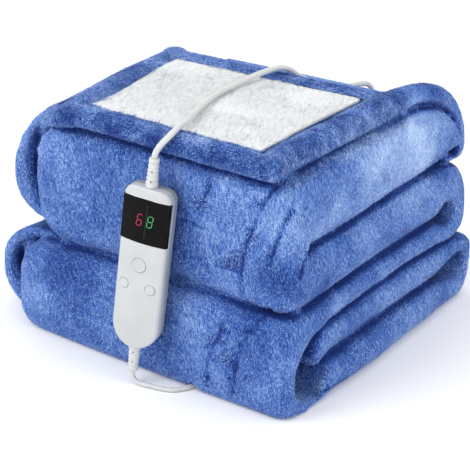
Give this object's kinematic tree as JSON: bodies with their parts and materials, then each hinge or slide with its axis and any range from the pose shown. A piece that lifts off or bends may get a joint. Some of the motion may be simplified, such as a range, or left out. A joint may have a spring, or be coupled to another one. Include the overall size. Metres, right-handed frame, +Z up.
{
  "type": "electric heated blanket",
  "caption": "Plush throw with sherpa lining folded into a stack, with its hand controller on the front, its lead over the top, and the rest of the lead coiled behind.",
  "frame": {"origin": "on the surface the stack rests on, under the middle of the blanket and its controller", "axes": "+Z up, +X along the front side to the right as seen from the front, +Y from the front to the back"},
  "size_m": [0.3396, 0.4235, 0.2291],
  "materials": {
    "fleece": "matte",
    "sherpa": "matte",
    "moulded_shell": "satin",
    "smoked_window": "gloss",
    "lead_sheath": "satin",
    "pin_metal": "polished"
  },
  "bodies": {
    "blanket": {"blanket_cloth": "fleece", "sherpa_panel": "sherpa", "controller_back": "moulded_shell", "controller_front": "moulded_shell", "display_window": "smoked_window", "strain_relief_upper": "lead_sheath", "strain_relief_lower": "lead_sheath", "mains_lead": "lead_sheath", "lower_lead": "lead_sheath", "lead_coil": "lead_sheath", "lead_tail": "lead_sheath", "plug_body": "lead_sheath", "plug_pin_left": "pin_metal", "plug_pin_right": "pin_metal"},
    "power_key": {"button_power": "moulded_shell"},
    "minus_key": {"button_minus": "moulded_shell"},
    "plus_key": {"button_plus": "moulded_shell"}
  },
  "joints": [
    {"name": "power_key_press", "type": "slide", "parent": "blanket", "child": "power_key", "axis": [-0.2055, 0.9782, -0.0302], "range_m": [0, 0.0008], "stiffness_N_per_m": 400},
    {"name": "minus_key_press", "type": "slide", "parent": "blanket", "child": "minus_key", "axis": [-0.0673, 0.9967, -0.0464], "range_m": [0, 0.0008], "stiffness_N_per_m": 400},
    {"name": "plus_key_press", "type": "slide", "parent": "blanket", "child": "plus_key", "axis": [-0.3352, 0.9421, -0.0139], "range_m": [0, 0.0008], "stiffness_N_per_m": 400}
  ]
}
